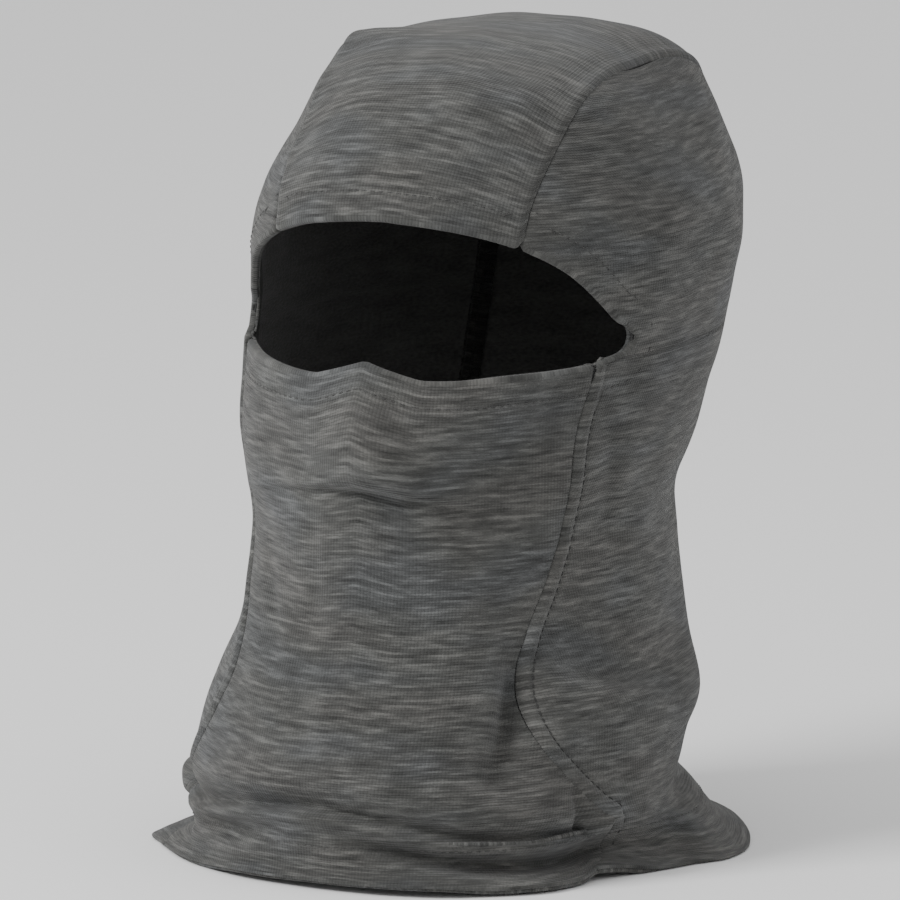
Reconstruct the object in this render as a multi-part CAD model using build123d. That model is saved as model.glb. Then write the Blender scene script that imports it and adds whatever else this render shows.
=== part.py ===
from build123d import *

import os
from math import copysign, cos, pi, sin, sqrt

# A knitted one-hole balaclava in its worn shape, standing on its own bottom hem.
#
# Frame: millimetres, +Z up, the face looks along -Y and the wearer's left is +X. The origin is
# the centre of the bounding box's bottom, on the surface that the hem rests on.
#
# The garment is four cut panels. The crown panel is one strip from the brow over the head to
# the hem at the back. A side panel lies on each side of it, and the front panel covers the face
# below the eyes and widens to a bib. Inside lie the overlocked seam allowances, the facing and
# the elastic of the face opening, the turned hem and a label. Every layer of cloth is cut from
# the skin between two lofts of the same body sections, so the layers lie inside one another.

os.makedirs("parts", exist_ok=True)

# ---------------------------------------------------------------- driving dimensions, mm
HEAD_AXIS_Y = 18.5  # the head's vertical axis, behind the origin
CLOTH = 1.2  # brushed jersey, one layer
GAP = 0.1  # air between two layers, or half of it at a butted seam
REACH = 400  # longer than anything here
LATE_DROP = 4  # the inner skins keep to the outer one's heights, and only sink near the top
LEAST_SLOPE = 0.02  # keeps foreshortening finite where the cloth turns away to the side

ALLOWANCE_WIDTH = 6  # the panels' edges, overlocked together and turned to one side
ALLOWANCE_THICK = 1.8
OVERLOCK_WIDTH = 4.5  # the thread that wraps the raw edge of the allowance
THREAD_THICK = 0.4
TOPSTITCH_WIDTH = 1.2
TOPSTITCH_AWAY = 5  # from the front seam to its topstitch

FACING_WIDTH = 11  # strip inside the edge of the face opening
ELASTIC_AWAY = 2  # from the edge of the opening to the elastic
ELASTIC_WIDTH = 6
ELASTIC_THICK = 0.6
OPENING_STITCH_AWAY = 9

HEM_HEIGHT = 15  # the hem, turned up inside
HEM_THICK = 1.6
LABEL_WIDTH = 26
LABEL_BOTTOM = 88
LABEL_TOP = 106
LABEL_THICK = 0.4

# Body sections: how far the cloth reaches to the side, forward and back of the head's axis, and
# how square the section is (2 is an ellipse).
SECTIONS = (
    # height, half width, front, back, squareness
    (0, 100, 135, 65, 2.0),
    (9, 88, 134, 56, 2.0),
    (24, 82, 133, 48, 2.0),
    (48, 79, 126, 54, 2.0),
    (80, 70.5, 115, 61, 2.0),
    (112, 67, 110, 62, 2.0),
    (146, 73, 110, 73, 2.05),
    (176, 75, 102, 91, 2.1),
    (206, 77, 97, 98, 2.1),
    (229, 71, 87, 95, 2.15),
    (246, 61.5, 73, 87, 2.3),
    (253.5, 56.7, 65, 81, 2.4),
    (259.5, 50, 54.5, 72.5, 2.45),
    (264, 41.5, 42, 61, 2.45),
    (267.2, 31, 27, 47, 2.35),
    (269, 19, 11, 32, 2.2),
    (269.5, 8, -2, 19, 2.0),
)
SECTION_POINTS = 16

# Left half of the face opening, seen from the front: across and up. The other half mirrors it.
OPENING = (
    (0, 219),
    (27, 216),
    (46, 209.5),
    (58.5, 200),
    (65.5, 188.5),
    (68.5, 178),
    (68, 171.5),
    (62, 169.5),
    (48, 168.5),
    (30, 167.5),
    (14, 168.5),
    (0, 173),
)
OPENING_ARCS = 16  # arcs round the whole opening

# The seam between the front panel and a side panel, seen from the front, from cheek to hem.
FRONT_SEAM = (
    (65, 184),
    (64, 168),
    (61, 145),
    (56.5, 115),
    (51, 83),
    (52.5, 65),
    (62, 44),
    (75, 24),
    (81, 10),
    (84, -2),
)
FRONT_SEAM_ARCS = 8

# The seam between the crown panel and the left side panel, seen from the front, from the top of
# the head down to the hem.
CROWN_SEAM = ((50, 285), (49.5, 262), (46.5, 225), (43, 180), (38, 120), (34, 60), (33, -15))
CROWN_SEAM_ARCS = 10

FRONT_STARTS_Y = HEAD_AXIS_Y - 35  # everything cut from the front lies before this plane


# ---------------------------------------------------------------- the skin of the body
def section_wire(height, half_width, front, back, squareness, inset):
    """A closed curve round the body from its middle at the back, moved inwards by inset."""
    middle = HEAD_AXIS_Y + (back - front) / 2
    across = half_width - inset
    along = (front + back) / 2 - inset
    power = 2 / squareness
    points = []
    for step in range(SECTION_POINTS):
        angle = pi + 2 * pi * step / SECTION_POINTS
        x = across * copysign(abs(sin(angle)) ** power, sin(angle))
        y = along * copysign(abs(cos(angle)) ** power, cos(angle))
        points.append((x, middle - y, height))
    return Wire([Edge.make_spline(points, periodic=True)])


def body(inset):
    """The solid that lies inset below the outer face of the cloth."""
    wires = []
    for height, half_width, front, back, squareness in SECTIONS:
        drop = inset * (height / SECTIONS[-1][0]) ** LATE_DROP
        wires.append(section_wire(height - drop, half_width, front, back, squareness, inset))
    return Solid.make_loft(wires)


def layer(inset, thickness):
    """A skin, open at the hem and closed over the head, whose outer face lies at inset."""
    return body(inset) - body(inset + thickness)


# ---------------------------------------------------------------- cutters
def half_sizes(height):
    """Half width and half length of the body at a height, from the sections around it."""
    height = max(height, 0)
    for low, high in zip(SECTIONS, SECTIONS[1:]):
        if height <= high[0]:
            part = (height - low[0]) / (high[0] - low[0])
            half_low = (low[2] + low[3]) / 2
            half_high = (high[2] + high[3]) / 2
            return low[1] + part * (high[1] - low[1]), half_low + part * (half_high - half_low)


def foreshortened(x, height):
    """How long 1 mm of cloth, measured round the body, looks from the front at this place."""
    half_width, half_length = half_sizes(height)
    across = sqrt(max(LEAST_SLOPE, 1 - (x / half_width) ** 2)) * half_width
    along = x / half_width * half_length
    return across / sqrt(across**2 + along**2)


def from_front(outline):
    """Everything behind an outline that is drawn in the plane where the front starts."""
    return extrude(Face(Wire(outline)), amount=REACH, dir=(0, -1, 0))


def as_arcs(curve, count):
    """A curve as a chain of arcs, so that each edge that it cuts in the cloth is a short one."""
    places = [curve.position_at(step / (2 * count) % 1) for step in range(2 * count)]
    places.append(curve.position_at(0 if curve.is_closed else 1))
    arcs = []
    for start in range(0, 2 * count, 2):
        arcs.append(Edge.make_three_point_arc(*places[start : start + 3]))
    return arcs


def opening_cutter(away):
    """The face opening, made larger all round by a distance measured on the cloth."""
    right = [(-x, z) for x, z in reversed(OPENING[1:-1])]
    points = [(x, FRONT_STARTS_Y, z) for x, z in OPENING + tuple(right)]
    edge = Edge.make_spline(points, periodic=True)
    if away:
        moved = []
        for step in range(4 * OPENING_ARCS):
            place = edge.position_at(step / (4 * OPENING_ARCS))
            along = edge.tangent_at(step / (4 * OPENING_ARCS))
            x = place.X - away * along.Z * foreshortened(place.X, place.Z)
            moved.append((x, FRONT_STARTS_Y, place.Z + away * along.X))
        edge = Edge.make_spline(moved, periodic=True)
    return from_front(as_arcs(edge, OPENING_ARCS))


def on_opening(skin, away, width):
    """The closed band of a skin that follows the edge of the face opening."""
    return (skin & opening_cutter(away + width)) - opening_cutter(away)


def seam_edge(side, away):
    """The front seam on one side, moved towards the side panel by away, along the cloth."""
    points = []
    for x, z in FRONT_SEAM:
        points.append((side * (x + away * foreshortened(x, z)), FRONT_STARTS_Y, z))
    return Edge.make_spline(points)


def between(one, other, count):
    """The outline between two open curves that run the same way."""
    top = Edge.make_line(one @ 0, other @ 0)
    foot = Edge.make_line(one @ 1, other @ 1)
    return as_arcs(one, count) + [foot] + as_arcs(other, count) + [top]


def front_cutter(away):
    """The front panel between its two seams, made wider by away on each side."""
    return from_front(between(seam_edge(1, away), seam_edge(-1, away), FRONT_SEAM_ARCS))


def front_seam_band(away, width):
    """A band that follows the left front seam, on the side panel's side."""
    edges = seam_edge(1, away), seam_edge(1, away + width)
    return from_front(between(*edges, FRONT_SEAM_ARCS))


def crown_edge(side, away):
    """The crown seam on one side, moved towards the side panel by away."""
    points = [(side * (x + away), REACH, z) for x, z in CROWN_SEAM]
    return Edge.make_spline(points)


def crown_band(one, other):
    """Everything between two crown edges, from front to back."""
    outline = Face(Wire(between(one, other, CROWN_SEAM_ARCS)))
    return extrude(outline, amount=2 * REACH, dir=(0, -1, 0))


def height_band(low, high):
    """Everything between two heights."""
    return Box(REACH, REACH, high - low).moved(Location((0, 0, (low + high) / 2)))


def both_sides(name, shape):
    """A sub-part on the wearer's left and its mirror image on the right."""
    yield f"{name}_left", shape
    yield f"{name}_right", mirror(shape, about=Plane.YZ)


def write(name, shape):
    """One file for one sub-part."""
    solids = shape.solids()
    export_step(Compound(solids), f"parts/{name}.step")
    volume = sum(solid.volume for solid in solids)
    print(f"{name}: {len(solids)} solid(s), {volume / 1000:.2f} cm3")


# ---------------------------------------------------------------- sub-parts
def panels():
    """The four cut panels of the outer skin."""
    cloth = layer(0, CLOTH) - opening_cutter(0)
    rest = cloth - front_cutter(GAP)
    yield "front_panel", cloth & front_cutter(-GAP)
    yield "crown_panel", rest & crown_band(crown_edge(-1, -GAP), crown_edge(1, -GAP))
    side_panel = rest & crown_band(crown_edge(1, GAP), crown_edge(1, REACH))
    yield from both_sides("side_panel", side_panel)


def seam_insides():
    """Overlocked allowances behind the seams, and the thread round their raw edges."""
    inner = CLOTH + GAP
    covered = opening_cutter(FACING_WIDTH + GAP)
    front = front_cutter(GAP)
    hem = height_band(-GAP, HEM_HEIGHT + GAP)
    cloth = layer(inner, ALLOWANCE_THICK) - hem
    thread = layer(inner + ALLOWANCE_THICK + GAP, THREAD_THICK) - hem
    thread_starts = ALLOWANCE_WIDTH - OVERLOCK_WIDTH
    raw_edge = crown_edge(1, -ALLOWANCE_WIDTH)
    allowance = crown_band(raw_edge, crown_edge(1, -GAP))
    wrapped = crown_band(raw_edge, crown_edge(1, -thread_starts))
    yield from both_sides("crown_seam_allowance", (cloth & allowance) - front - covered)
    yield from both_sides("crown_overlock_thread", (thread & wrapped) - front - covered)
    allowance = front_seam_band(GAP, ALLOWANCE_WIDTH - GAP)
    wrapped = front_seam_band(thread_starts, OVERLOCK_WIDTH)
    yield from both_sides("front_seam_allowance", (cloth & allowance) - covered)
    yield from both_sides("front_overlock_thread", (thread & wrapped) - covered)


def outer_stitches():
    """The threads that lie on the outside of the cloth."""
    thread = layer(-GAP - THREAD_THICK, THREAD_THICK)
    seam = thread & front_seam_band(TOPSTITCH_AWAY, TOPSTITCH_WIDTH)
    seam -= opening_cutter(OPENING_STITCH_AWAY + TOPSTITCH_WIDTH + GAP)
    yield from both_sides("front_topstitch", seam - height_band(-GAP, HEM_HEIGHT + GAP))
    yield "opening_topstitch", on_opening(thread, OPENING_STITCH_AWAY, TOPSTITCH_WIDTH)
    yield "hem_topstitch", thread & height_band(HEM_HEIGHT - TOPSTITCH_WIDTH, HEM_HEIGHT)


def opening_insides():
    """The elastic tape in the edge of the face opening, and the facing that covers it."""
    elastic = layer(CLOTH + GAP, ELASTIC_THICK)
    facing = layer(CLOTH + ELASTIC_THICK + 2 * GAP, CLOTH)
    yield "opening_elastic", on_opening(elastic, ELASTIC_AWAY, ELASTIC_WIDTH)
    yield "opening_facing", on_opening(facing, GAP, FACING_WIDTH - GAP)


def foot_and_label():
    """The hem turned up inside, and a blank care label in the nape."""
    hem = layer(CLOTH + GAP, HEM_THICK) & height_band(0, HEM_HEIGHT)
    yield "bottom_hem", hem
    nape = Box(LABEL_WIDTH, REACH, LABEL_TOP - LABEL_BOTTOM)
    middle = (LABEL_BOTTOM + LABEL_TOP) / 2
    behind = nape.moved(Location((0, HEAD_AXIS_Y + REACH / 2, middle)))
    yield "care_label", layer(CLOTH + GAP, LABEL_THICK) & behind


for make in (panels, seam_insides, outer_stitches, opening_insides, foot_and_label):
    for node, solid in make():
        write(node, solid)
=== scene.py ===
import math

import bpy
import numpy as np
from mathutils.bvhtree import BVHTree
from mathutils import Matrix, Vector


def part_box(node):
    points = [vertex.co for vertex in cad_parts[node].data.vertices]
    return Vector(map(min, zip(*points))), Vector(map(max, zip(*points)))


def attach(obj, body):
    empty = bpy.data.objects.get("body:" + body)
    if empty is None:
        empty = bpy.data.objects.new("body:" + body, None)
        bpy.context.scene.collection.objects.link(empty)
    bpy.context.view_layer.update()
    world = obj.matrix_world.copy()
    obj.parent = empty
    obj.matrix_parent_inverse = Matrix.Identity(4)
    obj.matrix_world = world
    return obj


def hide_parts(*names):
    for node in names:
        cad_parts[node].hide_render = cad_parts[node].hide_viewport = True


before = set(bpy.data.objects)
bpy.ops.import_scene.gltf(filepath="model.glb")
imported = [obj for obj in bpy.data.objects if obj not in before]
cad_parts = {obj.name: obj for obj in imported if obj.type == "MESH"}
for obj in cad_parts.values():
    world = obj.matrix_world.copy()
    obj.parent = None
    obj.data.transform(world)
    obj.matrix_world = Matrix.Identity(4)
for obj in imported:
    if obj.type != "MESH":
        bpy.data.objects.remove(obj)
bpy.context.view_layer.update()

# A knitted balaclava in its worn shape: four sewn panels with the insides of their seams, the
# faced and elasticated eye opening, and the turned hem.
#
# The CAD panels give the skin: its width, length and squareness at each height, and the lines of
# the seams and the opening. The folds of the worn cloth are added to that skin, and every piece is
# built on the folded skin at its own depth, so that all the layers fold together.
# Lengths are in millimetres until the meshes are made.

MM = 0.001
FAR = 400.0  # further out than any point of the garment

# Thicknesses, and depths below the outside of the garment
CLOTH = 1.2
ALLOWANCE = 1.8  # the two raw edges of a seam, pressed together
TAPE, TURNED_HEM, SATIN = 0.6, 1.6, 0.4
LAYER_DEPTH = 1.3  # of the strips that lie straight behind a panel
FACING_DEPTH = 2.0
OVERLOCK_DEPTH = 3.2

# Edges of the panels
EDGE_ROLL = 1.5  # radius of the turned edge of the eye opening
ROLLED_WITHIN = 1.9  # a panel's edge rolls inwards where it lies this close to the opening
SEAM_GAP = 0.38  # from a seam to where a panel's edge starts to round off
CROWN_GAP = 0.7 * SEAM_GAP
BROW_GAP = 0.4  # the same, from the brow's cut
TOPSTITCHED = -5.6  # where the topstitching runs, beside the front seam

# Heights
GROUND = 0.02  # the lowest that cloth may reach
LOWEST = 0.6  # the outside of the cloth at the hem
HEM_TOP, HEM_STITCHED = 15, 14.4
CORNER_LOW, CORNER_HIGH = 171.5, 209  # ends of the side panels' edge along the opening
ROLL_LOW, ROLL_HIGH = 168, 211  # between these the side panels' front edge rolls inwards
CORNER_PULL = 2.4  # how far the corner of the opening is pulled down
SIDE_TOP = 256  # above this the side panels' front edge follows the crown's cut
ABOVE_OPENING = 260
FLAT_TOP = 268  # above this the skin keeps its squareness
LABEL_LOW, LABEL_HIGH = 88.2, 105.8

# Half widths of the lip, the brow and the label
LIP_HALF, BROW_HALF, LABEL_HALF = 62, 46, 12.8


# ---------------------------------------------------------------- measuring the CAD skin
def corners(name):
    """Vertices and triangles of a CAD node, in mm."""
    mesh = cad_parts[name].data
    points = np.empty(len(mesh.vertices) * 3)
    mesh.vertices.foreach_get("co", points)
    return points.reshape(-1, 3) / MM, [tuple(p.vertices) for p in mesh.polygons]


def cut(name, axis, value):
    """Where the surface of a CAD node crosses a plane across one axis."""
    points, edges = NODE_EDGES[name]
    one, other = points[edges[:, 0]], points[edges[:, 1]]
    crosses = (one[:, axis] - value) * (other[:, axis] - value) < 0
    one, other = one[crosses], other[crosses]
    part = (value - one[:, axis]) / (other[:, axis] - one[:, axis])
    return one + part[:, None] * (other - one)


def smooth(places, values):
    """A smooth curve through the values, which never overshoots them."""
    places, values = np.asarray(places, float), np.asarray(values, float)
    steps = np.diff(places)
    slopes = np.diff(values) / steps
    same = slopes[1:] * slopes[:-1] > 0
    total = np.where(same, slopes[1:] + slopes[:-1], 1)
    turns = np.zeros(len(places))
    turns[1:-1] = np.where(same, 2 * slopes[1:] * slopes[:-1] / total, 0)
    turns[0], turns[-1] = slopes[0], slopes[-1]

    def at(place):
        place = np.clip(place, places[0], places[-1])
        i = np.clip(np.searchsorted(places, place) - 1, 0, len(steps) - 1)
        t = (place - places[i]) / steps[i]
        start = (1 + 2 * t) * (1 - t) ** 2 * values[i] + t * (1 - t) ** 2 * steps[i] * turns[i]
        end = t * t * (3 - 2 * t) * values[i + 1] - t * t * (1 - t) * steps[i] * turns[i + 1]
        return start + end

    return at


PANELS = ("front_panel", "crown_panel", "side_panel_left", "side_panel_right")
NODE_EDGES = {}
everything, triangles = [], []
for panel in PANELS:
    found, faces = corners(panel)
    edges = np.array([(f[i], f[i - 1]) for f in faces for i in range(len(f))])
    NODE_EDGES[panel] = found, edges
    triangles += [tuple(len(everything) + i for i in f) for f in faces]
    everything += [tuple(p) for p in found]
SKIN_TREE = BVHTree.FromPolygons(everything, triangles)
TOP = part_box("crown_panel")[1].z / MM - 0.15  # the highest section that is measured
APEX = TOP + 0.4  # where the flat middle of the crown would close as a dome


def first_hit(origin, direction):
    """The first point of the CAD panels that a ray meets."""
    place = SKIN_TREE.ray_cast(origin, direction)[0]
    return None if place is None else np.array(place)


def squareness_of(across, along):
    """The power of the superellipse through a point, given in half widths and half lengths."""
    low, high = 1.6, 4.0
    for _ in range(30):
        power = (low + high) / 2
        if across**power + along**power > 1:
            low = power
        else:
            high = power
    return power


HEIGHTS = np.unique(np.concatenate([
    (0.2, 2, 4.5, 7, 10, 14, 19, 25, 32, 40), np.arange(50, 240, 10.0),
    (238, 244, 249, 253, 257, 260, 262.5, 265, 267, 268.4, 269, TOP),
]))


def measured_skin():
    """Half width, squareness, front and back of the skin's sections, as curves over the height.
    The front is carried across the eye opening, and the crown is closed as a dome."""
    backs = np.array([first_hit((0, FAR, z), (0, -1, 0))[1] for z in HEIGHTS])
    fronts = np.array([first_hit((0, -FAR, z), (0, 1, 0))[1] for z in HEIGHTS])
    faced = (HEIGHTS > ABOVE_OPENING) | (fronts < 0)
    front, back = smooth(HEIGHTS[faced], fronts[faced]), smooth(HEIGHTS, backs)
    widths, powers = [], []
    for z in HEIGHTS:
        middle, half = (front(z) + back(z)) / 2, (back(z) - front(z)) / 2
        widths.append(first_hit((FAR, middle, z), (-1, 0, 0))[0])
        behind = first_hit((0.7 * widths[-1], FAR, z), (0, -1, 0))[1]
        powers.append(squareness_of(0.7, (behind - middle) / half) if z < FLAT_TOP else powers[-1])
    closed = np.append(HEIGHTS, APEX)
    middle = (fronts[-1] + backs[-1]) / 2
    front = smooth(np.append(HEIGHTS[faced], APEX), np.append(fronts[faced], middle - 0.5))
    back = smooth(closed, np.append(backs, middle + 0.5))
    return smooth(closed, widths + [0.5]), smooth(closed, powers + [2.0]), front, back


half_width, power_at, front_y, back_y = measured_skin()


def outside(points):
    """Below 0 inside the skin, 0 on it and above 0 outside it."""
    x, y, z = points[..., 0], points[..., 1], points[..., 2]
    front, back, power = front_y(z), back_y(z), power_at(z)
    across = np.abs(x) / half_width(z)
    along = np.abs(y - (front + back) / 2) / ((back - front) / 2)
    return across**power + along**power - 1 + 10 * np.maximum(z - APEX, 0)


def cast(origins, directions):
    """The points of the skin that rays from inside it meet."""
    directions = np.asarray(directions)
    low, high = np.zeros(origins.shape[:-1]), np.full(origins.shape[:-1], 250.0)
    for _ in range(26):
        middle = (low + high) / 2
        out = outside(origins + middle[..., None] * directions) > 0
        low, high = np.where(out, low, middle), np.where(out, middle, high)
    return origins + low[..., None] * directions


def xyz(x, y, z):
    """Points or directions from coordinates, any of which can be one number for all."""
    return np.stack(np.broadcast_arrays(x, y, z), axis=-1)


def unit(vectors):
    return vectors / np.maximum(np.linalg.norm(vectors, axis=-1, keepdims=True), 1e-9)


PROBE = 0.4  # half the distance over which the skin's slope is measured


def skin_rises(points):
    """How much outside() grows over two probe lengths along each axis."""
    rises = [outside(points + step) - outside(points - step) for step in PROBE * np.eye(3)]
    return np.stack(rises, axis=-1)


def skin_normal(points):
    """The direction straight out of the skin."""
    return unit(skin_rises(points))


def at_azimuth(azimuth, height):
    """Points of the skin at azimuths in degrees, from the front towards the wearer's left."""
    turn = np.radians(azimuth)
    return cast(xyz(0 * turn, 0, height), xyz(np.sin(turn), -np.cos(turn), 0))


# Outlines that the panels are cut to, as they lie in the CAD model
def half_cut(name, heights):
    """Half the width of a middle panel over the height, which is where its seams are."""
    return smooth(heights, [np.abs(cut(name, 2, z)[:, 0]).max() for z in heights])


def front_limit(name, axis, places, of, pick):
    """The lowest or highest coordinate of a node's front half, at each place along an axis."""
    values = []
    for place in places:
        points = cut(name, axis, place)
        values.append(pick(points[points[:, 1] < 0, of]))
    return smooth(places, values)


crown_seam_x = half_cut("crown_panel", np.arange(1, 259, 3.0))
front_seam_x = half_cut("front_panel", np.arange(1, 166, 3.0))
brow_z = front_limit("crown_panel", 0, np.arange(0.5, 46, 2.5), 2, np.min)
lip_z = front_limit("front_panel", 0, np.arange(0.5, 63, 2.5), 2, np.max)
cad_side_x = front_limit("side_panel_left", 2, np.arange(1, 258, 1.0), 0, np.min)


def side_starts_x(z):
    """The front edge of the side panels. Worn, the corner of the eye opening is pulled down."""
    z = np.asarray(z, float)
    pull = np.exp(-(((z - 171) / 5) ** 2)) * np.clip((z - 169.2) / 0.4, 0, 1)
    return cad_side_x(z + CORNER_PULL * pull)


# ---------------------------------------------------------------- folds of the worn cloth
def spline(points, step):
    """A smooth line through a few points, sampled about every step."""
    points = np.asarray(points, float)
    ends = np.concatenate([2 * points[:1] - points[1:2], points, 2 * points[-1:] - points[-2:-1]])
    out = []
    for a, b, c, d in zip(ends, ends[1:], ends[2:], ends[3:]):
        count = max(2, int(np.linalg.norm((c - b)[:2]) / step))
        t = np.linspace(0, 1, count, endpoint=False)[:, None]
        bend = (2 * a - 5 * b + 4 * c - d) * t**2 + (3 * b - a - 3 * c + d) * t**3
        out.append(b + 0.5 * ((c - a) * t + bend))
    return np.concatenate(out + [points[-1:]])


def line_frame(points, strengths):
    """A line on the skin: its points, directions, sides and strengths."""
    directions = unit(np.gradient(points, axis=0))
    sides = unit(np.cross(skin_normal(points), directions))
    return points, directions, sides, strengths


def line_on_skin(path):
    """The line of a fold that is given by azimuth, height and strength."""
    samples = spline(path, 1.0)
    return line_frame(at_azimuth(samples[:, 0], samples[:, 1]), samples[:, 2])


def mirrored(line):
    """The same line on the wearer's other side."""
    points, directions, sides, strengths = line
    flip = np.array((-1, 1, 1))
    return points * flip, directions * flip, sides * flip, strengths


def nearest(points, line):
    """For each point, its nearest line sample, in parts to keep the tables small."""
    out = np.empty(len(points), int)
    for start in range(0, len(points), 20000):
        part = points[start : start + 20000]
        gaps = ((part[:, None] - line[None]) ** 2).sum(-1)
        out[start : start + 20000] = gaps.argmin(1)
    return out


STEP_WIDTH = 0.9  # over which the cloth rises in a fold that is a step


def fold_push(points, normals, fold):
    """How far one fold moves each point."""
    (line, directions, sides, strengths), over, under, power, lean, shift = fold
    reach = 3 * max(over, under) + abs(shift)
    near = np.all((points > line.min(0) - reach) & (points < line.max(0) + reach), axis=1)
    moved = np.zeros_like(points)
    if near.any():
        part = points[near]
        i = nearest(part, line)
        offset = part - line[i]
        side = (offset * sides[i]).sum(1) - shift
        ahead = (offset * directions[i]).sum(1)
        spacing = np.linalg.norm(np.gradient(line, axis=0), axis=1)[i]
        place = np.clip(i + ahead / spacing, 0, len(line) - 1)
        strength = np.interp(place, np.arange(len(line)), strengths)
        beyond = np.maximum(np.abs(ahead) - spacing, 0)
        width = np.where(side > 0, over, under)
        if power:
            shape = np.exp(-((np.hypot(side, beyond) / width) ** power))
        else:
            step = np.tanh(side / STEP_WIDTH)
            shape = step * np.exp(-((np.hypot(side, beyond) / width) ** 2))
        moved[near] = (strength * shape)[:, None] * (normals[near] + np.array((0, 0, lean)))
    return moved


def bump_push(points, normals, bump):
    """How far one round bump or hollow moves each point."""
    azimuth, height, out, across, up = bump
    centre = at_azimuth(azimuth, height)
    turn = math.radians(azimuth)
    offset = points - centre
    sideways = offset[:, 0] * math.cos(turn) + offset[:, 1] * math.sin(turn)
    deep = -offset[:, 0] * math.sin(turn) + offset[:, 1] * math.cos(turn)
    depth = 1.4 * max(across, up)
    shape = np.exp(-((sideways / across) ** 2) - (offset[:, 2] / up) ** 2 - (deep / depth) ** 2)
    return (out * shape)[:, None] * normals


# Each fold: its line as azimuth, height and how far it stands out, then its half widths above
# (or towards the wearer's right on a line that climbs) and below, its shape (2 is round, 1 is
# sharp, 0 is a step) and how much it lifts.
FOLDS = (
    # ridge of the nose, and the cloth drawn in below it
    (((1, 176, 1.5), (2, 160, 4), (3, 146, 7), (3, 136, 6), (3, 130, 0)), 13, 13, 2, 0),
    (((-40, 123, 0.6), (-16, 129, 1.2), (0, 130.5, 1.8), (14, 128, 1.5), (26, 125, 0.9),
      (42, 123, 0)), 9, 12, 0, 0),
    (((-34, 124.5, 0), (-16, 128, -0.9), (4, 129, -1.1), (16, 126.5, -0.8),
      (30, 124, 0)), 2.2, 2.2, 1.4, 0),
    (((-34, 150, 0), (-24, 147, -1.5), (-14, 141, -1.5), (-8, 133, 0)), 8, 8, 2, 0),
    (((8, 134, 0), (16, 140, -1.8), (25, 147, -1.5), (36, 149, 0)), 8, 8, 2, 0),
    # hollow between cheek and jaw
    (((12, 134, 0), (22, 133, -2.2), (32, 129, -2.8), (42, 120, 0)), 9, 11, 2, 0),
    # short tuck beside the nose
    (((3, 162, 0), (6, 159, -1.6), (9, 157, -1.0), (14, 156, 0)), 2.4, 2.4, 1.5, 0),
    # soft upright folds of the neck
    (((-13, 122, 0), (-11, 112, -1.0), (-10, 98, -1.0), (-8, 84, 0)), 3, 4, 1.6, 0),
    (((-30, 116, 0), (-27, 100, -0.8), (-22, 82, -1.0), (-19, 66, 0)), 4, 5, 2, 0),
    (((60, 158, 0), (62, 145, -1.6), (63, 128, -1.8), (66, 112, -1.2), (72, 98, 0)), 5, 6, 1.8, 0),
    # the cloth slackens below the jaw and swells again above the hem
    (((38, 76, 0), (50, 70, -3.6), (66, 65, -4.8), (84, 64, -4.0), (110, 68, 0)), 17, 5, 2, 0),
    (((42, 56, 0), (60, 53, 1.6), (80, 50, 2.4), (100, 52, 1.6), (120, 58, 0)), 9, 11, 2, 0),
    # deep groove in front of the front seam, and the cloth that swells before it
    (((35, 81, 0), (34, 73, -4.5), (32.5, 62, -7.0), (31, 50, -7.0), (29, 40, -5.0),
      (27, 29, 0)), 8, 4.2, 1.8, 0),
    (((24, 88, 0), (22, 68, 1.5), (17, 48, 2.5), (13, 36, 0)), 13, 13, 2, 0),
    # the front hangs over the crease above the flange
    (((-58, 31, 0), (-40, 31, 1.6), (-17, 35, 2.4), (3, 36, 2.4), (18, 30, 2.2), (30, 27, 1.8),
      (46, 27, 0)), 9, 5.5, 2, -0.5),
    (((-64, 42, 0), (-65, 32, -2.2), (-58, 23.5, -3.6), (-40, 21.5, -4.2), (-17, 25.5, -5),
      (-5, 28, -5), (11, 23.5, -5), (21, 19.5, -5.4), (30, 18, -5.4), (40, 18, -5), (48, 18, -4),
      (52, 19, 0)), 3.2, 2.4, 1.5, 0),
    (((-54, 19, 0), (-40, 17.5, 2.0), (-17, 21.8, 2.6), (-5, 24, 2.8), (3, 23, 2.6), (11, 20, 2.4),
      (20, 16.5, 2.4), (27, 15.5, 2.4), (36, 15, 2.6), (45, 15.5, 2.8), (51, 17, 2.6), (54, 22, 2.2),
      (56, 30, 0)), 2.3, 2.4, 2, 0),
    (((-8, 19, 0), (5, 16, -4), (13, 13, -7.5), (23, 10.5, -9.5), (34, 9.5, -10), (44, 9.5, -9.0),
      (51, 10, -5.0), (60, 13, 0)), 3.2, 3.6, 2, 0),
    (((-36, 16, 0), (-26, 15.5, -5), (-18, 16.5, -4.4), (-8, 18, 0)), 3.8, 3.8, 2, 0),
    # tuck where the front panel's corner is sewn
    (((44, 34, 0), (46, 26, -2.4), (47.5, 19, -5.0), (49, 14, 0)), 2.2, 2.6, 1.6, 0),
    # lobe that hangs over the hem on the wearer's right
    (((-54, 21, 0), (-64, 22.5, 7.5), (-78, 23.5, 10), (-105, 26, 6.0), (-130, 30, 0)), 11, 6, 2, -0.4),
    (((-40, 11, 0), (-54, 10, -10), (-66, 9.5, -15), (-80, 10, -15), (-104, 12, -8),
      (-132, 16, 0)), 5, 4, 2, -0.55),
    # and the cloth drawn in over the flange on the left
    (((64, 20, 0), (80, 20, -5), (98, 22, -6.5), (122, 26, -4.5), (150, 28, 0)), 8, 6, 2, 0),
    # behind
    (((120, 124, 0), (150, 118, -1.8), (180, 116, -2.2), (210, 118, -1.6), (238, 124, 0)), 5, 8, 1.8, 0),
    (((128, 96, 0), (156, 90, -1.4), (184, 92, -1.8), (214, 98, 0)), 5, 7, 1.8, 0),
    (((150, 66, 0), (176, 58, -1.6), (206, 60, -1.4), (232, 68, 0)), 6, 8, 2, 0),
)

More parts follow.
